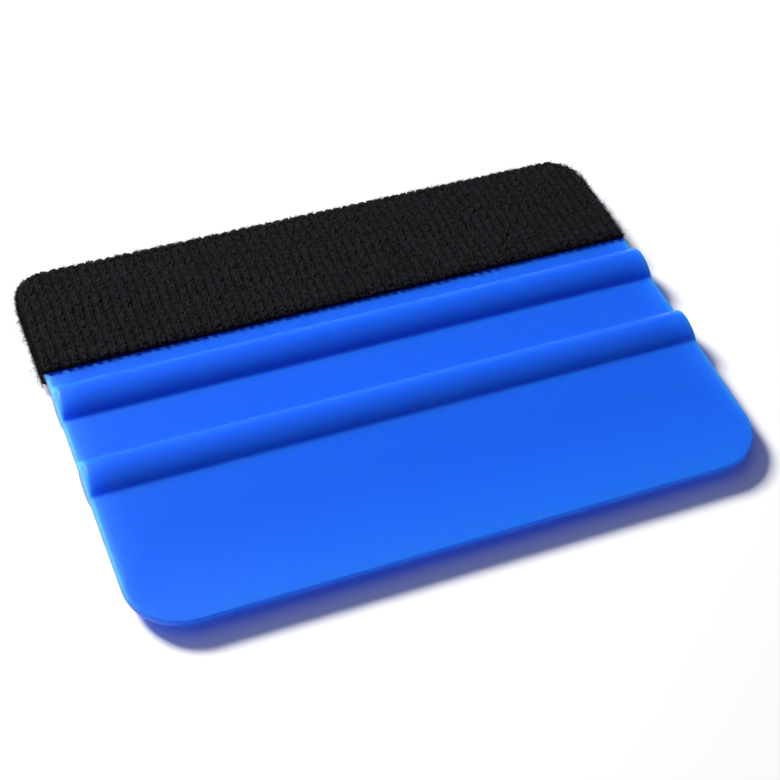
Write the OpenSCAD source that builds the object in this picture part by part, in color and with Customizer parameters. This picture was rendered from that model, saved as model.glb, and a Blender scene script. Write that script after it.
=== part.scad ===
// Hand squeegee card for smoothing adhesive film.
// A flexible moulded card with rounded grip ridges on both faces, and a knit band
// folded over one long edge and held by an adhesive film.
// X runs along the long edges, Y from the bare working edge to the covered edge, Z up.
// The origin is under the centre of the plan outline, on the plane the lower ridges rest on.

/* [Outline] */
// Length along the long edges
card_length = 100; // [60:1:160]
// Depth from the bare working edge to the outside of the fold
overall_depth = 72; // [60:0.5:100]
// Plan radius of the corners at the working edge
front_corner_radius = 8.5; // [2:0.5:14]
// Plan radius of the corners at the covered edge
rear_corner_radius = 7; // [2:0.5:12]

/* [Card] */
// Thickness of the working edge
edge_thickness = 1.2; // [0.8:0.1:2]
// Thickness where the blade meets the front ridge
root_thickness = 2.4; // [1.6:0.1:3]
// Thickness of the land between the ridges
valley_thickness = 2; // [1.4:0.1:3]
// Thickness just behind the rear ridge, where the band begins
shelf_thickness = 2.2; // [1.4:0.1:3]
// Thickness of the covered edge, inside the fold
rear_thickness = 1.4; // [1:0.1:2.4]

/* [Grip ridges] */
// Height of the crests above the middle plane of the card
crest_height = 3.1; // [2.4:0.1:4.5]
// Distance between the two crests on a face
ridge_pitch = 15.3; // [12:0.1:18]
// Distance from the rear crest to the outside of the fold
crest_to_fold = 28.1; // [26:0.1:34]
// Reach of a ridge forwards from its crest to its front foot
ridge_front_reach = 4.2; // [3:0.1:5]
// Reach of a ridge backwards from its crest to its rear foot
ridge_rear_reach = 2.7; // [2.4:0.1:3.6]
// Radius of the concave round where a flank meets the plate
foot_radius = 0.6; // [0.3:0.1:1]
// Depth by which each round crest is levelled, which leaves a narrow flat for the card to rest on
crest_levelling = 0.02; // [0.01:0.01:0.04]

/* [Band] */
// Distance that the band covers on each face, from its cut edge to the outside of the fold
band_cover = 22.3; // [18:0.1:23.5]
// Thickness of the knit band
band_thickness = 1.05; // [0.6:0.05:2]
// Thickness of the adhesive film under the band
film_thickness = 0.1; // [0.1:0.05:0.3]
// Distance that the film stops short of the band's cut edge
film_setback = 0.5; // [0:0.1:2]

/* [Hidden] */
$fn = 64;
front_y = -overall_depth / 2;
fold_y = overall_depth / 2;
// Outer face of the card's covered edge, inside the film and the band
card_rear_y = fold_y - band_thickness - film_thickness;
rear_crest_y = fold_y - crest_to_fold;
front_crest_y = rear_crest_y - ridge_pitch;
blade_root_y = front_crest_y - ridge_front_reach;
band_front_y = fold_y - band_cover;
// Centre of the round on the card's covered edge, shared by the film and the band
fold_centre_y = card_rear_y - rear_thickness / 2;
// Length of a ridge's foot inside the plate
buried_foot = 0.3;
// Depth by which the round at a foot reaches into the flank and the plate that it joins
foot_overlap = 0.03;
// Each ridge's crest, with the plate thickness at its front foot and at its rear foot
ridges = [
    [front_crest_y, root_thickness, valley_thickness],
    [rear_crest_y, valley_thickness, shelf_thickness]
];

// Radius of an arc that is level at a crest and falls by drop over reach
function arc_radius(reach, drop) = (reach * reach + drop * drop) / (2 * drop);

// A disc that rounds one corner of the plan outline
module corner(x, y, r) {
    translate([x, y]) circle(r = r);
}

// Plan outline, with larger corners at the working edge
module plan() {
    half = card_length / 2;
    front = front_corner_radius;
    rear = rear_corner_radius;
    for (side = [-1, 1]) {
        corner(side * (half - front), front_y + front, front);
        corner(side * (half - rear), fold_y - rear, rear);
    }
    translate([-half + front, front_y]) square([card_length - 2 * front, overall_depth / 2]);
    translate([-half + rear, 0]) square([card_length - 2 * rear, fold_y]);
    translate([-half, front_y + front]) square([card_length, overall_depth - front - rear]);
}

// Runs a section, drawn as X = depth and Y = height, along the long edges about the middle plane
module along_card() {
    translate([-card_length / 2, 0, 0])
        rotate([90, 0, 90])
            linear_extrude(height = card_length) children();
}

// Trims what it holds to the plan outline and lifts it so that the lower ridges rest at Z = 0
module trimmed() {
    translate([0, 0, crest_height])
        intersection() {
            children();
            translate([0, 0, -2 * crest_height])
                linear_extrude(height = 4 * crest_height) plan();
        }
}

// Plate of the card from the working edge to the covered edge, thickest at the blade's root
module plate_section() {
    edge = edge_thickness / 2;
    root = root_thickness / 2;
    valley = valley_thickness / 2;
    shelf = shelf_thickness / 2;
    rear = rear_thickness / 2;
    translate([front_y + edge, 0]) circle(r = edge);
    translate([fold_centre_y, 0]) circle(r = rear);
    polygon([
        [front_y + edge, -edge], [blade_root_y, -root], [front_crest_y, -root],
        [front_crest_y, -valley], [rear_crest_y, -valley], [rear_crest_y, -shelf],
        [band_front_y, -shelf], [fold_centre_y, -rear],
        [fold_centre_y, rear], [band_front_y, shelf],
        [rear_crest_y, shelf], [rear_crest_y, valley], [front_crest_y, valley],
        [front_crest_y, root], [blade_root_y, root], [front_y + edge, edge]
    ]);
}

// Outline round the covered part of the card, grown outwards by the layers wrapped round it
module wrap_section(start_y, grow) {
    shelf = shelf_thickness / 2 + grow;
    rear = rear_thickness / 2 + grow;
    slope = (rear - shelf) / (fold_centre_y - band_front_y);
    start = shelf + slope * (start_y - band_front_y);
    translate([fold_centre_y, 0]) circle(r = rear);
    polygon([[start_y, -start], [fold_centre_y, -rear], [fold_centre_y, rear], [start_y, start]]);
}

// One flank of a ridge, round-topped: the front one runs to side -1, the rear one to side 1.
// Its arc meets the plate at the foot and goes on a little way under the surface.
module flank(reach, foot_thickness, side) {
    apex = crest_height + crest_levelling;
    r = arc_radius(reach, apex - foot_thickness / 2);
    run = reach + buried_foot;
    intersection() {
        translate([0, apex - r]) circle(r = r);
        translate([side < 0 ? -run : 0, 0]) square([run, crest_height]);
    }
    foot(r, apex - r, foot_thickness / 2, side);
}

// Concave round between a flank, an arc of radius r about the height centre, and the plate
module foot(r, centre, plate, side) {
    height = plate + foot_radius - foot_overlap;
    span = r + foot_radius - foot_overlap;
    out = sqrt(span * span - (height - centre) * (height - centre));
    share = (foot_radius + buried_foot) / span;
    inner = [side * out * (1 - share), height + share * (centre - height)];
    middle = [side * out, height];
    low = plate - buried_foot;
    difference() {
        polygon(side > 0
            ? [[inner[0], low], [middle[0], low], middle, inner]
            : [[middle[0], low], [inner[0], low], inner, middle]);
        translate(middle) circle(r = foot_radius);
    }
}

// Upper ridge, with a gentle front flank, a steep rear flank and a narrow flat along the crest
module ridge_section(ridge) {
    translate([ridge[0], 0]) {
        flank(ridge_front_reach, ridge[1], -1);
        flank(ridge_rear_reach, ridge[2], 1);
    }
}

// Blue moulded card: tapered blade, land, shelf and a pair of ridges on each face
module card() {
    color([0.13, 0.4, 0.95])
        trimmed() union() {
            along_card() plate_section();
            for (ridge = ridges) {
                along_card() ridge_section(ridge);
                mirror([0, 0, 1]) along_card() ridge_section(ridge);
            }
        }
}

// Clear adhesive film between the card and the band
module adhesive_film() {
    color([0.75, 0.73, 0.68])
        trimmed() along_card() difference() {
            wrap_section(band_front_y + film_setback, film_thickness);
            wrap_section(band_front_y, 0);
        }
}

// Black brushed knit band, folded round the covered edge
module fabric_band() {
    color([0.1, 0.1, 0.11])
        trimmed() along_card() difference() {
            wrap_section(band_front_y, film_thickness + band_thickness);
            wrap_section(band_front_y, film_thickness);
        }
}

card();
adhesive_film();
fabric_band();
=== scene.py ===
"""Looks of a hand squeegee card: a moulded blue card, an adhesive film and a brushed knit band.

Lengths are in metres. Sizes that the design sets are given in millimetres and turned by MM.
"""

import logging
import math
from dataclasses import dataclass
from enum import Enum

import bmesh
import bpy
import numpy as np
from mathutils import Matrix, Vector


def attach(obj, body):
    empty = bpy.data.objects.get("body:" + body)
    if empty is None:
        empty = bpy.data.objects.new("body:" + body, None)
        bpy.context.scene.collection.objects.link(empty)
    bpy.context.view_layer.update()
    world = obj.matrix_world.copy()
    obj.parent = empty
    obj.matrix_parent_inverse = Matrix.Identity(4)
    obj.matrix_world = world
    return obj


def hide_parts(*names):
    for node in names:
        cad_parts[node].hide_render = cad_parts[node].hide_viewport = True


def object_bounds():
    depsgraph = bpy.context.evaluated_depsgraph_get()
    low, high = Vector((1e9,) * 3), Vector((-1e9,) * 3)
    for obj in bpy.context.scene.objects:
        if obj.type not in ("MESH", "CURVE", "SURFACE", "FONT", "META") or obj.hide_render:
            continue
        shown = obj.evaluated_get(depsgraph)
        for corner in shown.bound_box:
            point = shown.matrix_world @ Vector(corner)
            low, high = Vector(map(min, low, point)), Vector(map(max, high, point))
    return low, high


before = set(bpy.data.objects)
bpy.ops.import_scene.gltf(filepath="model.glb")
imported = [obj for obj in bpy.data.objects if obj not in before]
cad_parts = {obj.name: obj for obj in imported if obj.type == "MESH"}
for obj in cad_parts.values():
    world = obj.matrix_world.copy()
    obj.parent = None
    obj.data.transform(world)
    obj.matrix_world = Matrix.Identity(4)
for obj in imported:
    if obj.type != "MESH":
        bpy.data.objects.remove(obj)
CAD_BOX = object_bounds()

LOG = logging.getLogger("squeegee")
MM = 0.001
Array = np.ndarray


# ---------------------------------------------------------------- outline and section


@dataclass(frozen=True)
class PlanOutline:
    """Plan outline that trims every piece: a rectangle with rounded corners.

    front and rear are places on Y, and the outline is centred on X = 0.
    """

    half_length: float
    front: float
    rear: float
    front_radius: float = 8.5 * MM
    rear_radius: float = 7.0 * MM

    def half_width(self, y: Array) -> Array:
        """Half the outline's width along X.

        Args:
            y: places on Y.

        Returns:
            The distance from X = 0 to the outline at each place.
        """
        width = np.full_like(y, self.half_length, dtype=float)
        corners = (
            (self.front_radius, self.front + self.front_radius - y),
            (self.rear_radius, y - self.rear + self.rear_radius),
        )
        for radius, past in corners:
            past = np.clip(past, 0.0, radius)
            width -= radius - np.sqrt(radius**2 - past**2)
        return width

    def inset(self, x: Array, y: Array) -> Array:
        """How far each point lies inside the outline.

        Args:
            x: places on X.
            y: places on Y.

        Returns:
            The distance to the outline, at least 0.
        """
        across = np.abs(x)
        depth = np.minimum(self.half_length - across, np.minimum(y - self.front, self.rear - y))
        corners = (
            (self.front_radius, self.front + self.front_radius - y),
            (self.rear_radius, y - self.rear + self.rear_radius),
        )
        for radius, past in corners:
            beside = across - (self.half_length - radius)
            rounded = radius - np.hypot(np.maximum(beside, 0), np.maximum(past, 0))
            depth = np.where((beside > 0) & (past > 0), rounded, depth)
        return np.maximum(depth, 0.0)


@dataclass(frozen=True)
class CardSection:
    """Section of the card across its depth, alike above and below its middle plane."""

    front: float
    fold: float
    crest_height: float
    edge_thickness: float = 1.2 * MM
    root_thickness: float = 2.4 * MM
    valley_thickness: float = 2.0 * MM
    shelf_thickness: float = 2.2 * MM
    rear_thickness: float = 1.4 * MM
    ridge_pitch: float = 15.3 * MM
    crest_to_fold: float = 28.1 * MM
    front_reach: float = 4.2 * MM
    rear_reach: float = 2.7 * MM
    foot_radius: float = 0.9 * MM
    band_cover: float = 22.3 * MM
    band_thickness: float = 1.05 * MM
    film_thickness: float = 0.1 * MM

    @property
    def rear_crest(self) -> float:
        """Place on Y of the crest nearer the band."""
        return self.fold - self.crest_to_fold

    @property
    def front_crest(self) -> float:
        """Place on Y of the crest nearer the working edge."""
        return self.rear_crest - self.ridge_pitch

    @property
    def band_front(self) -> float:
        """Place on Y of the band's cut edges."""
        return self.fold - self.band_cover

    @property
    def card_rear(self) -> float:
        """Place on Y of the card's own rear edge, inside the fold."""
        return self.fold - self.band_thickness - self.film_thickness

    @property
    def fold_centre(self) -> float:
        """Place on Y of the centre of the rounds on the covered edge."""
        return self.card_rear - self.rear_thickness / 2

    def plate(self, y: Array) -> Array:
        """Half the thickness of the plate without its ridges at places on Y."""
        places = [
            self.front, self.front_crest - self.front_reach, self.front_crest, self.front_crest,
            self.rear_crest, self.rear_crest, self.band_front, self.fold_centre,
        ]
        thicknesses = [
            self.edge_thickness, self.root_thickness, self.root_thickness, self.valley_thickness,
            self.valley_thickness, self.shelf_thickness, self.shelf_thickness, self.rear_thickness,
        ]
        half = np.interp(y, places, np.array(thicknesses) / 2)
        past = np.clip(y - self.fold_centre, 0, self.rear_thickness / 2)
        rounded = np.sqrt(np.maximum((self.rear_thickness / 2) ** 2 - past**2, 0))
        return np.where(y > self.fold_centre, rounded, half)

    def ridge(self, y: Array, crest: float, feet: tuple[float, float]) -> Array:
        """Height of one ridge's surface above the middle plane.

        Args:
            y: places on Y.
            crest: the crest's place on Y.
            feet: the plate's thickness at the front foot and at the rear foot.

        Returns:
            The height at each place, and 0 beyond the feet.
        """
        height = np.zeros_like(y)
        soft = self.foot_radius
        for reach, foot, side in ((self.front_reach, feet[0], -1), (self.rear_reach, feet[1], 1)):
            drop = self.crest_height - foot / 2
            radius = (reach**2 + drop**2) / (2 * drop)
            span = radius + soft
            out = math.sqrt(span**2 - (span - drop) ** 2)
            meet = out * radius / span
            along = (y - crest) * side
            arc = self.crest_height - radius + np.sqrt(np.maximum(radius**2 - along**2, 0))
            hollow = foot / 2 + soft - np.sqrt(np.maximum(soft**2 - (along - out) ** 2, 0))
            height = np.where((along >= 0) & (along <= meet), arc, height)
            height = np.where((along > meet) & (along < out), hollow, height)
        return height

    def foot_reach(self, reach: float, foot: float) -> float:
        """Distance from a crest to the end of the concave round at its foot.

        Args:
            reach: the flank's own reach.
            foot: the plate's thickness at the foot.
        """
        drop = self.crest_height - foot / 2
        span = (reach**2 + drop**2) / (2 * drop) + self.foot_radius
        return math.sqrt(span**2 - (span - drop) ** 2)

    def half_height(self, y: Array) -> Array:
        """Height of the moulded surface above the middle plane at places on Y."""
        front = self.ridge(y, self.front_crest, (self.root_thickness, self.valley_thickness))
        rear = self.ridge(y, self.rear_crest, (self.valley_thickness, self.shelf_thickness))
        return np.maximum(self.plate(y), np.maximum(front, rear))


# ---------------------------------------------------------------- mesh helpers


def finish_mesh(bm: bmesh.types.BMesh, name: str, material: bpy.types.Material) -> bpy.types.Object:
    """Turns a bmesh into a smooth-shaded object at the origin.

    Args:
        bm: the finished shape, which is freed.
        name: the piece's name.
        material: its finish.

    Returns:
        The new object.
    """
    mesh = bpy.data.meshes.new(name)
    bm.to_mesh(mesh)
    bm.free()
    return add_piece(mesh, name, material)


def add_piece(mesh: bpy.types.Mesh, name: str, material: bpy.types.Material) -> bpy.types.Object:
    """Links a mesh to the scene as a smooth-shaded piece and returns its object."""
    mesh.name = name
    mesh.materials.clear()
    mesh.materials.append(material)
    mesh.polygons.foreach_set("use_smooth", np.ones(len(mesh.polygons), bool))
    piece = bpy.data.objects.new(name, mesh)
    bpy.context.scene.collection.objects.link(piece)
    return piece


def grid_mesh(columns: int, rows: int) -> tuple[bmesh.types.BMesh, Array]:
    """Makes a square grid to be shaped.

    Args:
        columns: number of vertices along its first side.
        rows: number of vertices along its second side.

    Returns:
        The bmesh, and for each vertex its column and row.
    """
    bm = bmesh.new()
    bmesh.ops.create_grid(bm, x_segments=columns - 1, y_segments=rows - 1, size=1.0)
    bm.verts.ensure_lookup_table()
    spots = np.array([v.co[:2] for v in bm.verts])
    index = np.rint((spots + 1) / 2 * (np.array([columns, rows]) - 1)).astype(int)
    return bm, index


def place_vertices(bm: bmesh.types.BMesh, points: Array) -> None:
    """Moves each vertex of a bmesh to its row of points."""
    for vertex, point in zip(bm.verts, points.tolist()):
        vertex.co = point


def set_point_values(piece: bpy.types.Object, name: str, values: Array) -> None:
    """Stores one number for each vertex of a piece, for its material to read."""
    layer = piece.data.attributes.new(name, "FLOAT", "POINT")
    layer.data.foreach_set("value", np.asarray(values, np.float32))


def vertex_places(piece: bpy.types.Object) -> Array:
    """The places of a piece's vertices, one row each."""
    points = np.empty(len(piece.data.vertices) * 3, np.float32)
    piece.data.vertices.foreach_get("co", points)
    return points.reshape(-1, 3).astype(float)


def strands(name: str, lines: Array, radii: Array, material: bpy.types.Material) -> bpy.types.Object:
    """Makes fine fibres as one mesh of thin tapering tubes.

    Args:
        name: the piece's name.
        lines: points of each fibre, fibre by point by three.
        radii: each fibre's radius at its root.
        material: its finish.

    Returns:
        The new object.
    """
    curve = bpy.data.curves.new(name, "CURVE")
    curve.dimensions = "3D"
    curve.bevel_depth = 1.0
    curve.bevel_resolution = 0
    curve.resolution_u = 1
    curve.use_fill_caps = True
    taper = np.linspace(1.0, 0.35, lines.shape[1])
    flat = np.concatenate([lines, np.ones(lines.shape[:2] + (1,))], axis=2)
    for line, radius in zip(flat, radii):
        spline = curve.splines.new("POLY")
        spline.points.add(len(line) - 1)
        spline.points.foreach_set("co", line.ravel())
        spline.points.foreach_set("radius", taper * radius)
    maker = bpy.data.objects.new(name + "_lines", curve)
    mesh = bpy.data.meshes.new_from_object(maker)
    bpy.data.objects.remove(maker)
    bpy.data.curves.remove(curve)
    return add_piece(mesh, name, material)


# ---------------------------------------------------------------- shader helpers


class Shader:
    """Small builder for the nodes of a material or of the world."""

    def __init__(self, tree: bpy.types.NodeTree) -> None:
        """Starts on an empty tree."""
        self.tree = tree
        tree.nodes.clear()

    def node(self, kind: str, inputs: dict | None = None, **settings: object) -> bpy.types.Node:
        """Adds a node.

        Args:
            kind: the node's type name.
            inputs: values or sockets for its inputs, by name or number.
            settings: its other properties.

        Returns:
            The new node.
        """
        made = self.tree.nodes.new(kind)
        for key, value in settings.items():
            setattr(made, key, value)
        for key, value in (inputs or {}).items():
            if isinstance(value, bpy.types.NodeSocket):
                self.tree.links.new(value, made.inputs[key])
            else:
                made.inputs[key].default_value = value
        return made

    def math(self, operation: str, *values: object) -> bpy.types.NodeSocket:
        """Adds a Math node on the values and returns its result."""
        return self.node("ShaderNodeMath", dict(enumerate(values)), operation=operation).outputs[0]

    def mix(self, factor: object, low: object, high: object) -> bpy.types.NodeSocket:
        """Adds a colour mix and returns its result."""
        made = self.node(
            "ShaderNodeMix", {0: factor, 6: low, 7: high}, data_type="RGBA", clamp_factor=True
        )
        return made.outputs[2]

    def spread(self, value: object, low: float, high: float) -> bpy.types.NodeSocket:
        """Maps 0 to 1 on to low to high, clamped, and returns the result."""
        return self.node("ShaderNodeMapRange", {0: value, 3: low, 4: high}).outputs[0]

    def window(self, value: object, low: float, high: float) -> bpy.types.NodeSocket:
        """Maps low to high on to 0 to 1, clamped, and returns the result."""
        return self.node("ShaderNodeMapRange", {0: value, 1: low, 2: high}).outputs[0]

    def noise(self, place: object, scale: float, detail: float = 2.0, rough: float = 0.5) -> object:
        """Adds a noise texture and returns its value."""
        inputs = {"Vector": place, "Scale": scale, "Detail": detail, "Roughness": rough}
        return self.node("ShaderNodeTexNoise", inputs).outputs[0]

    def stretch(self, place: object, scale: tuple[float, float, float]) -> bpy.types.NodeSocket:
        """Scales a place along its axes and returns the result."""
        return self.node("ShaderNodeMapping", {"Vector": place, "Scale": scale}).outputs[0]

    def place(self) -> bpy.types.NodeSocket:
        """The place on the object."""
        return self.node("ShaderNodeTexCoord").outputs["Object"]

    def stored(self, name: str) -> bpy.types.NodeSocket:
        """A number stored for each vertex."""
        return self.node("ShaderNodeAttribute", attribute_name=name).outputs["Fac"]


@dataclass(frozen=True)
class CardPlastic:
    """Blue moulded polypropylene: satin and translucent, with painted light showing through where it is
    thin, as paler colours painted over the blade and the rims.

    passed is the share of the light that each face lets through into a shadow. blade_rim is the stored
    value rim at which the painted blade glow is full and the rim's paler painted glow begins.
    """

    colour: tuple[float, float, float, float] = (0.0113, 0.130, 0.79, 1.0)
    dull_colour: tuple[float, float, float, float] = (0.0104, 0.121, 0.75, 1.0)
    # Painted light: the blade's and the rims' paler colours stand in for light showing through the thin
    # plastic.
    painted_blade_glow: tuple[float, float, float, float] = (0.0113, 0.175, 0.985, 1.0)
    painted_rim_glow: tuple[float, float, float, float] = (0.065, 0.37, 0.99, 1.0)
    blade_rim: float = 0.4
    passed: tuple[float, float, float, float] = (0.028, 0.13, 0.38, 1.0)
    depth_of_scatter: float = 3.0 * MM
    scatter_reach: tuple[float, float, float] = (0.08, 0.2, 1.0)
    roughness: float = 0.278

    def material(self) -> bpy.types.Material:
        """Builds the finish, which reads the card's stored value rim to paint the paler glow of light
        showing through the blade and the rims.
        """
        made = bpy.data.materials.new("card_plastic")
        made.use_nodes = True
        shader = Shader(made.node_tree)
        place = shader.place()
        cloud = shader.noise(place, 38.0, 3.0)
        shade = shader.mix(shader.spread(cloud, 0.0, 0.22), self.colour, self.dull_colour)
        rim = shader.stored("rim")
        # Painted light: paler colour over the blade, then paler still at the rims, for light showing
        # through the thin plastic.
        colour = shader.mix(shader.window(rim, 0.0, self.blade_rim), shade, self.painted_blade_glow)
        colour = shader.mix(shader.window(rim, self.blade_rim, 1.0), colour, self.painted_rim_glow)
        grain = shader.noise(place, 5200.0, 2.0)
        swell = shader.noise(place, 110.0, 1.0)
        rough = shader.math("ADD", self.roughness, shader.spread(cloud, 0.0, 0.03))
        rough = shader.math("ADD", rough, shader.spread(rim, 0.0, 0.35))
        bumped = shader.node("ShaderNodeBump", {"Strength": 0.25, "Distance": 0.02 * MM, "Height": grain})
        waved = shader.node(
            "ShaderNodeBump",
            {"Strength": 0.5, "Distance": 0.12 * MM, "Height": swell, "Normal": bumped.outputs[0]},
        )
        surface = shader.node(
            "ShaderNodeBsdfPrincipled",
            {
                "Base Color": colour,
                "Roughness": rough,
                "IOR": 1.49,
                "Specular IOR Level": 0.28,
                "Normal": waved.outputs[0],
                "Subsurface Weight": 1.0,
                "Subsurface Radius": self.scatter_reach,
                "Subsurface Scale": self.depth_of_scatter,
            },
        )
        through = shader.node("ShaderNodeBsdfTransparent", {"Color": self.passed})
        shadow_ray = shader.node("ShaderNodeLightPath").outputs["Is Shadow Ray"]
        choice = {0: shadow_ray, 1: surface.outputs[0], 2: through.outputs[0]}
        lit = shader.node("ShaderNodeMixShader", choice)
        shader.node("ShaderNodeOutputMaterial", {"Surface": lit.outputs[0]})
        return made


@dataclass(frozen=True)
class KnitYarn:
    """Black brushed yarn, matt with a faint sheen, in the loops, the ground and the fibres."""

    name: str
    dark: tuple[float, float, float, float] = (0.0018, 0.0018, 0.0025, 1.0)
    light: tuple[float, float, float, float] = (0.0076, 0.0076, 0.0108, 1.0)
    sheen: float = 0.04

    def material(self) -> bpy.types.Material:
        """Builds the finish, which reads the piece's stored value tone: random tone of the yarn together
        with painted shade between the wales and on the ground cloth under the loops.
        """
        made = bpy.data.materials.new(self.name)
        made.use_nodes = True
        shader = Shader(made.node_tree)
        place = shader.place()
        mottle = shader.noise(place, 900.0, 3.0, 0.6)
        # The stored tone carries painted shade between the wales and under the loops; the mottle is the
        # yarn's own uneven tone.
        tone = shader.math("ADD", shader.stored("tone"), shader.spread(mottle, -0.35, 0.35))
        colour = shader.mix(tone, self.dark, self.light)
        hairs = shader.noise(shader.stretch(place, (1.0, 0.35, 1.0)), 7000.0, 3.0, 0.7)
        bump = shader.node("ShaderNodeBump", {"Strength": 0.7, "Distance": 0.05 * MM, "Height": hairs})
        surface = shader.node(
            "ShaderNodeBsdfPrincipled",
            {
                "Base Color": colour,
                "Roughness": 0.88,
                "Specular IOR Level": 0.15,
                "Sheen Weight": self.sheen,
                "Sheen Roughness": 0.45,
                "Sheen Tint": (0.75, 0.78, 0.85, 1.0),
                "Normal": bump.outputs[0],
            },
        )
        shader.node("ShaderNodeOutputMaterial", {"Surface": surface.outputs[0]})
        return made


@dataclass(frozen=True)
class TapeFilm:
    """Clear adhesive film, hazy and slightly yellowed, with specks of trapped lint."""

    colour: tuple[float, float, float, float] = (0.050, 0.048, 0.042, 1.0)

    def material(self) -> bpy.types.Material:
        """Builds the finish."""
        made = bpy.data.materials.new("tape_film")
        made.use_nodes = True
        shader = Shader(made.node_tree)
        place = shader.place()
        haze = shader.noise(place, 700.0, 3.0)
        lint = shader.window(shader.noise(place, 4200.0, 1.0), 0.66, 0.72)
        hazy = shader.mix(haze, self.colour, (0.095, 0.091, 0.082, 1.0))
        colour = shader.mix(lint, hazy, (0.03, 0.03, 0.03, 1.0))
        bump = shader.node("ShaderNodeBump", {"Strength": 0.3, "Distance": 0.03 * MM, "Height": haze})
        surface = shader.node(
            "ShaderNodeBsdfPrincipled",
            {
                "Base Color": colour,
                "Roughness": shader.spread(haze, 0.25, 0.5),
                "IOR": 1.47,
                "Normal": bump.outputs[0],
            },
        )
        shader.node("ShaderNodeOutputMaterial", {"Surface": surface.outputs[0]})
        return made


@dataclass(frozen=True)
class FloorPaper:
    """Plain white paper under the object."""

    colour: tuple[float, float, float, float] = (0.97, 0.97, 0.97, 1.0)

    def material(self) -> bpy.types.Material:
        """Builds the finish."""
        made = bpy.data.materials.new("floor_paper")
        made.use_nodes = True
        shader = Shader(made.node_tree)
        surface = shader.node(
            "ShaderNodeBsdfPrincipled",
            {"Base Color": self.colour, "Roughness": 0.9, "Specular IOR Level": 0.1},
        )
        shader.node("ShaderNodeOutputMaterial", {"Surface": surface.outputs[0]})
        return made


# ---------------------------------------------------------------- card


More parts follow.
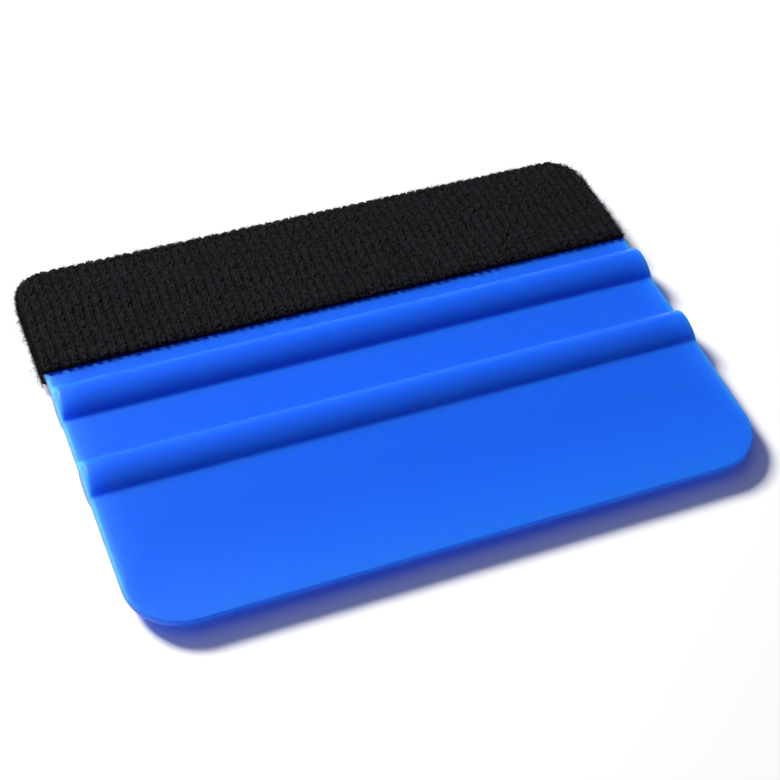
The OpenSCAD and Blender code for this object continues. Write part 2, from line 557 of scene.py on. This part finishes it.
@dataclass
class Card:
    """The blue moulding: blade, land, shelf and ridges, with every edge rounded."""

    outline: PlanOutline
    section: CardSection
    front_round: float = 0.2 * MM
    edge_round: float = 0.45 * MM
    crest_round: float = 0.9 * MM
    covered_round: float = 0.3 * MM
    least_wall: float = 0.03 * MM
    ridge_step: float = 0.15 * MM
    middle_columns: int = 26
    end_insets: tuple[float, ...] = (
        0.0, 0.01, 0.03, 0.07, 0.12, 0.18, 0.25, 0.33, 0.42, 0.5, 0.62, 0.76, 0.92, 1.2, 1.7, 2.6, 4.5, 8.5
    )
    # These set the painted glow of light showing through: how it fades in from the outline, grows away from
    # the working edge, washes over the blade and dims on the underside.
    rim_fade: float = 1.4 * MM
    rim_growth: float = 10 * MM
    blade_depth: float = 16 * MM
    blade_share: float = 0.4
    underside_share: float = 0.3

    def depth_stations(self) -> Array:
        """Places on Y of the rows of vertices, close together where the surface turns."""
        s = self.section
        turn = np.linspace(0, math.pi / 2, 10)
        edge = s.front + self.front_round * (1 - np.cos(turn))
        corner = np.linspace(s.front + self.front_round, s.front + self.outline.front_radius, 20)
        blade = np.linspace(corner[-1], s.front_crest - s.front_reach, 12)
        rows = [edge, corner, blade]
        ridges = (
            (s.front_crest, s.root_thickness, s.valley_thickness),
            (s.rear_crest, s.valley_thickness, s.shelf_thickness),
        )
        for crest, front_foot, rear_foot in ridges:
            start = crest - s.foot_reach(s.front_reach, front_foot)
            stop = crest + s.foot_reach(s.rear_reach, rear_foot)
            rows.append(np.linspace(start, stop, round((stop - start) / self.ridge_step)))
        rows.append(np.linspace(s.front_crest + s.rear_reach, s.rear_crest - s.front_reach, 8))
        corner_start = self.outline.rear - self.outline.rear_radius
        rows.append(np.linspace(s.rear_crest + s.rear_reach, corner_start, 18))
        rows.append(np.linspace(corner_start, s.fold_centre, 8))
        arc = np.linspace(0, 0.98 * math.pi / 2, 8)
        rows.append(s.fold_centre + s.rear_thickness / 2 * np.sin(arc))
        return np.unique(np.round(np.concatenate(rows), 8))

    def build(self, material: bpy.types.Material) -> bpy.types.Object:
        """Shapes the card from a grid laid over its plan.

        Args:
            material: its finish.

        Returns:
            The card.
        """
        s = self.section
        rows = self.depth_stations()
        insets = np.array(self.end_insets) * MM
        middle = np.linspace(-1, 1, self.middle_columns)[1:-1]
        columns = 2 * len(insets) + len(middle)
        bm, index = grid_mesh(columns, len(rows))
        y = rows[index[:, 1]]
        half = self.outline.half_width(y)
        inner = half - insets[-1]
        table = [-half + step for step in insets] + [inner * t for t in middle]
        table += [half - step for step in insets[::-1]]
        x = np.stack(table)[index[:, 0], np.arange(len(y))]
        height = s.half_height(y)
        covered = y > s.band_front
        raised = np.clip((height - s.shelf_thickness / 2) / (s.crest_height - s.shelf_thickness / 2), 0, 1)
        past_front = np.clip((y - s.front) / self.outline.front_radius, 0, 1)
        plain_round = self.front_round + past_front * (self.edge_round - self.front_round)
        open_round = plain_round + raised * (self.crest_round - plain_round)
        rounding = np.where(covered, self.covered_round, open_round)
        rounding = np.clip(np.minimum(rounding, height - self.least_wall), 1e-6, None)
        inset = self.outline.inset(x, y)
        short = np.clip(rounding - inset, 0, rounding)
        top = height - (rounding - np.sqrt(rounding**2 - short**2))
        top = np.maximum(top, self.least_wall / 2)
        place_vertices(bm, np.stack([x, y, s.crest_height + top], axis=1))
        upper = bm.verts[:] + bm.edges[:] + bm.faces[:]
        lower = bmesh.ops.duplicate(bm, geom=upper)["geom"]
        lower_verts = [item for item in lower if isinstance(item, bmesh.types.BMVert)]
        about = Matrix.Translation((0, 0, -s.crest_height))
        bmesh.ops.scale(bm, vec=(1, 1, -1), space=about, verts=lower_verts)
        rims = [edge for edge in bm.edges if edge.is_boundary]
        bmesh.ops.bridge_loops(bm, edges=rims)
        bmesh.ops.recalc_face_normals(bm, faces=bm.faces[:])
        piece = finish_mesh(bm, "card_moulding", material)
        self.store_rim(piece)
        return piece

    def store_rim(self, piece: bpy.types.Object) -> None:
        """Stores how strongly each vertex gets the painted glow of light showing through the thin plastic,
        by how near it is to the rim and to the working edge.
        """
        points = vertex_places(piece)
        inset = self.outline.inset(points[:, 0], points[:, 1])
        from_front = points[:, 1] - self.section.front
        blade = np.clip(1 - from_front / self.blade_depth, 0, 1)
        share = 0.2 + 0.8 * np.clip(from_front / self.rim_growth, 0, 1)
        # Painted glow: strongest at the outline, weaker near the working edge, with a wash over the blade.
        rim = np.maximum(share * np.exp(-inset / self.rim_fade), self.blade_share * blade**1.2)
        # Painted glow: dimmer on the underside.
        below = points[:, 2] < self.section.crest_height
        rim = np.where(below, self.underside_share * rim, rim)
        set_point_values(piece, "rim", rim)

    def dress(self) -> bpy.types.Object:
        """Builds the card with its finish and hands it to the frame."""
        piece = self.build(CardPlastic().material())
        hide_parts("card")
        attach(piece, "root")
        LOG.info("card: %d faces", len(piece.data.polygons))
        return piece


# ---------------------------------------------------------------- knit band


class Side(Enum):
    """The stretches of the band: the upper leaf, the fold and the lower leaf."""

    UPPER = "upper"
    FOLD = "fold"
    LOWER = "lower"


@dataclass(frozen=True)
class Wrap:
    """The way the band takes round the covered edge, from its upper cut edge to its lower one."""

    section: CardSection
    outline: PlanOutline
    shift: float = -0.45 * MM
    overhang: float = 0.1 * MM

    @property
    def leaf(self) -> float:
        """Length of the straight stretch on one face."""
        s = self.section
        rise = (s.shelf_thickness - s.rear_thickness) / 2
        return math.hypot(s.fold_centre - s.band_front, rise)

    @property
    def bend(self) -> float:
        """Length of the middle of the band round the fold."""
        s = self.section
        return math.pi * (s.rear_thickness / 2 + s.film_thickness + s.band_thickness / 2)

    @property
    def length(self) -> float:
        """Whole length of the strip."""
        return 2 * self.leaf + self.bend

    def depth_and_height(self, along: Array, lift: Array) -> tuple[Array, Array]:
        """Where a point of the strip lies.

        Args:
            along: distance along the strip from its upper cut edge.
            lift: height above the adhesive film.

        Returns:
            Its place on Y, and its height above the card's middle plane.
        """
        s = self.section
        out = lift + s.film_thickness
        turn = np.clip((along - self.leaf) / self.bend, 0, 1) * math.pi
        sign = np.where(along > self.leaf + self.bend / 2, -1.0, 1.0)
        flat = np.where(sign > 0, along, self.length - along)
        share = flat / self.leaf
        y_flat = s.band_front + share * (s.fold_centre - s.band_front)
        half = s.shelf_thickness / 2 + share * (s.rear_thickness - s.shelf_thickness) / 2
        radius = s.rear_thickness / 2 + out
        y_bend = s.fold_centre + radius * np.sin(turn)
        z_bend = radius * np.cos(turn)
        bent = flat > self.leaf
        return np.where(bent, y_bend, y_flat), np.where(bent, z_bend, sign * (half + out))

    def place(self, x: Array, along: Array, lift: Array) -> Array:
        """Points in space for places on the strip, one row each."""
        y, z = self.depth_and_height(along, lift)
        return np.stack([x + self.shift, y, self.section.crest_height + z], axis=-1)

    def half_width(self, along: Array) -> Array:
        """Half the width of the trimmed strip, at its outer face."""
        y, _ = self.depth_and_height(along, np.full_like(along, self.section.band_thickness))
        return self.outline.half_width(y) + self.overhang

    def stretch(self, side: Side) -> tuple[float, float]:
        """Where a side begins and ends along the strip."""
        ends = {
            Side.UPPER: (0.0, self.leaf),
            Side.FOLD: (self.leaf, self.leaf + self.bend),
            Side.LOWER: (self.leaf + self.bend, self.length),
        }
        return ends[side]


@dataclass
class KnitBand:
    """The black band: a ground cloth, rows of knitted loops, a brushed nap and frayed ends."""

    wrap: Wrap
    wale: float = 1.53 * MM
    course: float = 0.72 * MM
    loop_depth: float = 0.20 * MM
    rib: float = 0.09 * MM
    cut_round: float = 1.9 * MM
    end_round: float = 0.9 * MM
    cell: float = 0.38 * MM
    ground_thickness: float = 0.12 * MM
    loop_half_size: tuple[float, float, float] = (0.26 * MM, 0.80 * MM, 0.20 * MM)
    fibres_in_tuft: int = 5
    tuft_spread: float = 0.11 * MM
    floor_gap: float = 0.06 * MM
    stray_thickening: float = 1.7
    seed: int = 7
    yarn: bpy.types.Material | None = None
    fuzz: bpy.types.Material | None = None

    @property
    def thickness(self) -> float:
        """Whole thickness of the band."""
        return self.wrap.section.band_thickness

    def ground(self) -> bpy.types.Object:
        """Makes the ground cloth, a folded sheet with its wales raised a little."""
        width = 2 * self.wrap.outline.half_length
        columns = round(width / self.cell) + 1
        rows = round(self.wrap.length / self.cell) + 1
        bm, index = grid_mesh(columns, rows)
        along = index[:, 1] / (rows - 1) * self.wrap.length
        share = index[:, 0] / (columns - 1) * 2 - 1
        half = self.wrap.half_width(along)
        full = self.wrap.outline.half_length
        squeezed = 10 * MM
        x = share * full
        past = np.clip((np.abs(x) - (full - squeezed)) / squeezed, 0, 1)
        x = np.sign(x) * (np.minimum(np.abs(x), full - squeezed) + past * (half - full + squeezed))
        lift = self.surface(x, along) - self.loop_depth
        place_vertices(bm, self.wrap.place(x, along, lift))
        bmesh.ops.recalc_face_normals(bm, faces=bm.faces[:])
        piece = finish_mesh(bm, "band_ground", self.yarn)
        if piece.data.polygons[len(piece.data.polygons) // 2].normal.y < 0:
            piece.data.flip_normals()
        # Painted shade: the ground cloth under the loops is kept near its darkest tone.
        set_point_values(piece, "tone", np.full(len(piece.data.vertices), 0.1))
        solid = piece.modifiers.new("cloth", "SOLIDIFY")
        solid.thickness = self.ground_thickness
        solid.offset = -1.0
        return piece

    def sway(self, along: Array) -> Array:
        """How far the wales wander sideways at places along the strip."""
        return 0.14 * MM * np.sin(along / (2.9 * MM)) + 0.09 * MM * np.sin(along / (1.3 * MM) + 1.0)

    def surface(self, x: Array, along: Array) -> Array:
        """Height of the cloth's ribbed face above the adhesive film.

        Args:
            x: places across the strip.
            along: places along it.

        Returns:
            The height, which falls away over a round at the cut edges and a little at the ends.
        """
        ribs = np.cos(2 * math.pi * (x + self.sway(along)) / self.wale) - 1
        bent = np.abs(along - self.wrap.length / 2) < self.wrap.bend / 2
        lift = self.thickness + self.rib * np.where(bent, 0.5, 1.0) * ribs
        cut = np.minimum(along, self.wrap.length - along)
        end = self.wrap.half_width(along) - np.abs(x)
        for inset, depth, reach in ((cut, 0.68, self.cut_round), (end, 0.35, self.end_round)):
            short = np.clip(1 - np.maximum(inset, 0) / reach, 0, 1)
            lift = lift - depth * self.thickness * (1 - np.sqrt(1 - short**2))
        return lift

    def loop_shape(self) -> tuple[Array, Array]:
        """One leg of a knitted loop, as the points and faces of a small spindle about its middle."""
        bm = bmesh.new()
        bmesh.ops.create_uvsphere(bm, u_segments=6, v_segments=4, radius=1.0)
        bmesh.ops.triangulate(bm, faces=bm.faces[:])
        bm.verts.ensure_lookup_table()
        points = np.array([v.co[:] for v in bm.verts])
        faces = np.array([[v.index for v in f.verts] for f in bm.faces])
        bm.free()
        return points, faces

    def loops(self, side: Side, rng: np.random.Generator) -> bpy.types.Object:
        """Lays rows of knitted loops over one side of the band.

        Args:
            side: the stretch to cover.
            rng: source of the small unevenness.

        Returns:
            The loops as one mesh.
        """
        points, faces = self.loop_shape()
        low, high = self.wrap.stretch(side)
        rows = round((high - low) / self.course)
        count = int(self.wrap.outline.half_length / self.wale) + 1
        wales = np.arange(-count, count + 1) * self.wale
        x, along, leg = (a.ravel() for a in np.meshgrid(wales, np.arange(rows), [-1.0, 1.0], indexing="ij"))
        n = len(x)
        phase = np.repeat(rng.uniform(0, 1, len(wales) * 2).reshape(-1, 2), rows, axis=0).ravel()
        along = low + (along + phase) * self.course + rng.normal(0, 0.13 * MM, n)
        along = np.clip(along, max(low, 0.35 * MM), min(high, self.wrap.length - 0.35 * MM))
        x = x - self.sway(along) + leg * 0.165 * self.wale + rng.normal(0, 0.06 * MM, n)
        keep = np.abs(x) < self.wrap.half_width(along) - 0.2 * self.wale
        x, along, leg = x[keep], along[keep], leg[keep]
        n = len(x)
        lean = leg * 0.14 + rng.normal(0, 0.20, n)
        size = 1 + rng.normal(0, 0.16, (n, 1, 3))
        body = points[None] * np.array(self.loop_half_size) * size
        narrow = 1 - 0.35 * points[None, :, 1]
        bx, by, bz = body[..., 0] * narrow, body[..., 1], body[..., 2] * narrow
        cos, sin = np.cos(lean)[:, None], np.sin(lean)[:, None]
        px = x[:, None] + bx * cos + by * sin
        py = np.clip(along[:, None] + bx * -sin + by * cos, 0, self.wrap.length)
        seat = self.surface(x, along) - rng.normal(0.20, 0.03, n) * MM
        space = self.wrap.place(px, py, seat[:, None] + bz).reshape(-1, 3)
        tris = (faces[None] + np.arange(n)[:, None, None] * len(points)).reshape(-1, 3)
        mesh = bpy.data.meshes.new("band_loops")
        mesh.from_pydata(space, [], tris)
        piece = add_piece(mesh, f"band_loops_{side.value}", self.yarn)
        # Painted shade: loops between wales are darker; the random factor is the yarn's own uneven tone.
        tone = self.painted_wale_shade(px.ravel(), np.repeat(along, len(points)))
        set_point_values(piece, "tone", tone * np.repeat(rng.uniform(0.5, 1.2, n), len(points)))
        return piece

    def painted_wale_shade(self, x: Array, along: Array) -> Array:
        """How light the yarn is painted, from 1 on a wale to nearly 0 between two: painted shade in the
        grooves between the wales.
        """
        return 0.55 + 0.45 * np.cos(2 * math.pi * (x + self.sway(along)) / self.wale)

    def fibre_lines(
        self, roots: Array, heading: Array, lengths: Array, curl: float, steps: int,
        rng: np.random.Generator,
    ) -> Array:
        """Bent centre lines of fibres.

        Args:
            roots: where the fibres start.
            heading: unit directions that they leave in.
            lengths: their lengths.
            curl: how strongly they turn, 0 for straight.
            steps: number of straight steps in each.
            rng: source of the unevenness.

        Returns:
            The points, fibre by point by three, all above the floor.
        """
        direction = heading.copy()
        turn = rng.normal(0, 1, roots.shape)
        line = [roots]
        for _ in range(steps):
            direction = direction + curl * turn + rng.normal(0, 0.25 * curl, roots.shape)
            direction /= np.linalg.norm(direction, axis=1, keepdims=True)
            line.append(line[-1] + direction * (lengths / steps)[:, None])
        points = np.stack(line, axis=1)
        points[..., 2] = np.maximum(points[..., 2], self.floor_gap)
        return points

    def nap(self, name: str, side: Side, ends: tuple[float, float], tufts: int, stand: float,
            rng: np.random.Generator) -> bpy.types.Object:
        """Makes the brushed nap on one stretch of the band, in small tufts that lean together.

        Args:
            name: the piece's name.
            side: the stretch to cover.
            ends: how far it runs across the strip, from -1 at the left end to 1 at the right end.
            tufts: number of tufts.
            stand: how upright they are, 0 flat to 1 upright.
            rng: source of the unevenness.

        Returns:
            The fibres as one mesh.
        """
        low, high = self.wrap.stretch(side)
        members = self.fibres_in_tuft
        centre = rng.uniform(max(low, 0.1 * MM), min(high, self.wrap.length - 0.1 * MM), tufts)
        beside = rng.uniform(*ends, tufts) * (self.wrap.half_width(centre) - 0.05 * MM)
        along = np.repeat(centre, members) + rng.normal(0, self.tuft_spread, tufts * members)
        along = np.clip(along, 0.05 * MM, self.wrap.length - 0.05 * MM)
        x = np.repeat(beside, members) + rng.normal(0, self.tuft_spread, tufts * members)
        root = self.surface(x, along) - 0.16 * MM
        start = self.wrap.place(x, along, root)
        normal = self.wrap.place(x, along, root + 0.1 * MM) - start
        normal /= np.linalg.norm(normal, axis=1, keepdims=True)
        ahead = self.wrap.place(x, along - 0.1 * MM, root) - start
        ahead /= np.linalg.norm(ahead, axis=1, keepdims=True)
        across = np.cross(normal, ahead)
        way = np.where(rng.uniform(0, 1, tufts) < 0.7, 0.0, math.pi) + rng.normal(0, 0.4, tufts)
        angle = (np.repeat(way, members) + rng.normal(0, 0.3, tufts * members))[:, None]
        upright = np.repeat(stand * rng.uniform(0.4, 1.6, tufts), members)[:, None]
        heading = ahead * np.cos(angle) + across * np.sin(angle) + normal * upright
        heading /= np.linalg.norm(heading, axis=1, keepdims=True)
        lengths = rng.uniform(0.4, 1.05, tufts * members) * MM
        lines = self.fibre_lines(start, heading, lengths, 0.2, 2, rng)
        piece = strands(name, lines, rng.uniform(0.014, 0.024, len(lines)) * MM, self.fuzz)
        # Painted shade: tufts between wales are darker; the random factor is the yarn's own uneven tone.
        tone = self.painted_wale_shade(x, along) * np.repeat(rng.uniform(0.4, 1.2, tufts), members)
        set_point_values(piece, "tone", np.repeat(tone, len(piece.data.vertices) // len(tone)))
        return piece

    def frays(self, end: int, count: int, long_count: int, rng: np.random.Generator) -> bpy.types.Object:
        """Makes the loose fibres on one cut end.

        Args:
            end: -1 for the left end, 1 for the right one.
            count: number of short fibres.
            long_count: number of long stray fibres.
            rng: source of the unevenness.

        Returns:
            The fibres as one mesh.
        """
        total = count + long_count
        along = rng.uniform(0, self.wrap.length, total)
        along[:count // 2] = rng.uniform(0, self.wrap.leaf, count // 2)
        lift = rng.uniform(0.02, 1.0, total) * (self.thickness - 0.1 * MM)
        x = end * (self.wrap.half_width(along) - 0.1 * MM)
        start = self.wrap.place(x, along, lift)
        heading = rng.normal(0, 0.5, (total, 3))
        heading[:, 0] = end * rng.uniform(0.3, 1.2, total)
        heading[: count // 2, 2] -= rng.uniform(0.2, 1.6, count // 2)
        heading /= np.linalg.norm(heading, axis=1, keepdims=True)
        short = rng.uniform(0.3, 0.9, count)
        lengths = np.concatenate([short, rng.uniform(1.2, 3.4, long_count)]) * MM
        lines = self.fibre_lines(start, heading, lengths, 0.3, 3, rng)
        name = "band_frays_left" if end < 0 else "band_frays_right"
        radii = rng.uniform(0.010, 0.018, total) * MM
        radii[count:] *= self.stray_thickening
        piece = strands(name, lines, radii, self.fuzz)
        set_point_values(piece, "tone", np.full(len(piece.data.vertices), 0.5))
        return piece

    def dress(self) -> list[bpy.types.Object]:
        """Builds the band with its finish and hands it to the frame."""
        rng = np.random.default_rng(self.seed)
        self.yarn = KnitYarn("band_yarn").material()
        self.fuzz = KnitYarn("band_fuzz", light=(0.0122, 0.0120, 0.0160, 1.0), sheen=0.05).material()
        cloth = self.ground()
        trims = [self.loops(side, rng) for side in Side]
        for part, start in enumerate((-1.0, -0.5, 0.0, 0.5)):
            name = f"band_nap_upper_{part + 1}"
            trims.append(self.nap(name, Side.UPPER, (start, start + 0.5), 1900, 0.3, rng))
        trims.append(self.nap("band_nap_fold", Side.FOLD, (-1.0, 1.0), 1700, 0.5, rng))
        trims.append(self.nap("band_nap_lower", Side.LOWER, (-1.0, 1.0), 1700, 0.3, rng))
        trims.append(self.frays(-1, 4200, 170, rng))
        trims.append(self.frays(1, 3200, 60, rng))
        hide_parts("fabric_band")
        for piece in [cloth, *trims]:
            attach(piece, "root")
            LOG.info("%s: %d faces", piece.name, len(piece.data.polygons))
        return [cloth, *trims]


# ---------------------------------------------------------------- film and studio


@dataclass
class Film:
    """The adhesive film, which keeps its modelled shape and gets its finish."""

    node: str = "adhesive_film"

    def dress(self) -> bpy.types.Object:
        """Gives the film its finish."""
        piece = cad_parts[self.node]
        piece.data.materials.clear()
        piece.data.materials.append(TapeFilm().material())
        LOG.info("%s: finish set", self.node)
        return piece


@dataclass
class Studio:
    """White floor, soft light from behind on the left, and the camera."""

    centre: Vector
    azimuth: float = 26.66
    elevation: float = 48.05
    roll: float = 6.17
    distance: float = 258.6 * MM
    lens: float = 77.07
    aim: tuple[float, float, float] = (-0.71 * MM, -4.96 * MM, 0.0)
    key_azimuth: float = -36.0
    key_elevation: float = 41.8
    lamp_distance: float = 0.8
    key_size: float = 0.215
    key_power: float = 10.5
    top_azimuth: float = -85.0
    top_elevation: float = 66.0
    top_size: float = 0.62
    top_power: float = 0.67
    sky: float = 0.02
    glow: float = 0.7

    def floor(self) -> None:
        """Lays the floor."""
        bm = bmesh.new()
        bmesh.ops.create_grid(bm, x_segments=1, y_segments=1, size=3.0)
        piece = finish_mesh(bm, "floor", FloorPaper().material())

    def toward(self, azimuth: float, elevation: float) -> Vector:
        """Unit vector from the object to a direction, with azimuth 0 along +Y and 90 along +X."""
        a, e = math.radians(azimuth), math.radians(elevation)
        return Vector((math.sin(a) * math.cos(e), math.cos(a) * math.cos(e), math.sin(e)))

    def lamp(self, name: str, azimuth: float, elevation: float, size: float, power: float) -> None:
        """Hangs one square soft light that faces the object."""
        light = bpy.data.lights.new(name, "AREA")
        light.shape = "SQUARE"
        light.size = size
        light.energy = power
        lamp = bpy.data.objects.new(name, light)
        way = self.toward(azimuth, elevation)
        lamp.location = self.centre + way * self.lamp_distance
        lamp.rotation_euler = way.to_track_quat("Z", "Y").to_euler()
        bpy.context.scene.collection.objects.link(lamp)

    def surroundings(self) -> None:
        """Lights the scene with dim plain white that brightens towards the horizon."""
        world = bpy.data.worlds.new("white_room")
        world.use_nodes = True
        shader = Shader(world.node_tree)
        way = shader.node("ShaderNodeTexCoord").outputs["Generated"]
        height = shader.node("ShaderNodeSeparateXYZ", {0: way}).outputs[2]
        level = shader.math("POWER", shader.window(height, 1.0, 0.0), 6.0)
        strength = shader.math("MULTIPLY_ADD", level, self.glow, self.sky)
        white = (1.0, 1.0, 1.0, 1.0)
        sky = shader.node("ShaderNodeBackground", {"Color": white, "Strength": strength})
        shader.node("ShaderNodeOutputWorld", {"Surface": sky.outputs[0]})
        bpy.context.scene.world = world

    def camera(self) -> None:
        """Sets the camera."""
        data = bpy.data.cameras.new("camera")
        data.lens = self.lens
        data.clip_start = 0.01
        data.clip_end = 20.0
        camera = bpy.data.objects.new("camera", data)
        forward = -self.toward(self.azimuth + 180, self.elevation)
        target = self.centre + Vector(self.aim)
        turn = forward.to_track_quat("-Z", "Y").to_matrix().to_4x4()
        spin = Matrix.Rotation(math.radians(self.roll), 4, "Z")
        camera.matrix_world = Matrix.Translation(target - forward * self.distance) @ turn @ spin
        bpy.context.scene.collection.objects.link(camera)
        bpy.context.scene.camera = camera

    def build(self) -> None:
        """Builds the floor, the lights and the camera."""
        self.floor()
        self.lamp("key", self.key_azimuth, self.key_elevation, self.key_size, self.key_power)
        self.lamp("top", self.top_azimuth, self.top_elevation, self.top_size, self.top_power)
        self.surroundings()
        self.camera()
        bpy.context.scene.view_settings.view_transform = "Standard"
        LOG.info("studio built")


def main() -> None:
    """Builds the object and its studio."""
    logging.basicConfig(level=logging.INFO, format="%(message)s")
    low, high = CAD_BOX
    outline = PlanOutline(half_length=high.x, front=low.y, rear=high.y)
    section = CardSection(front=low.y, fold=high.y, crest_height=high.z / 2)
    Card(outline, section).dress()
    Film().dress()
    KnitBand(Wrap(section, outline)).dress()
    Studio(centre=Vector((0.0, 0.0, high.z / 2))).build()


if __name__ == "__main__":
    main()
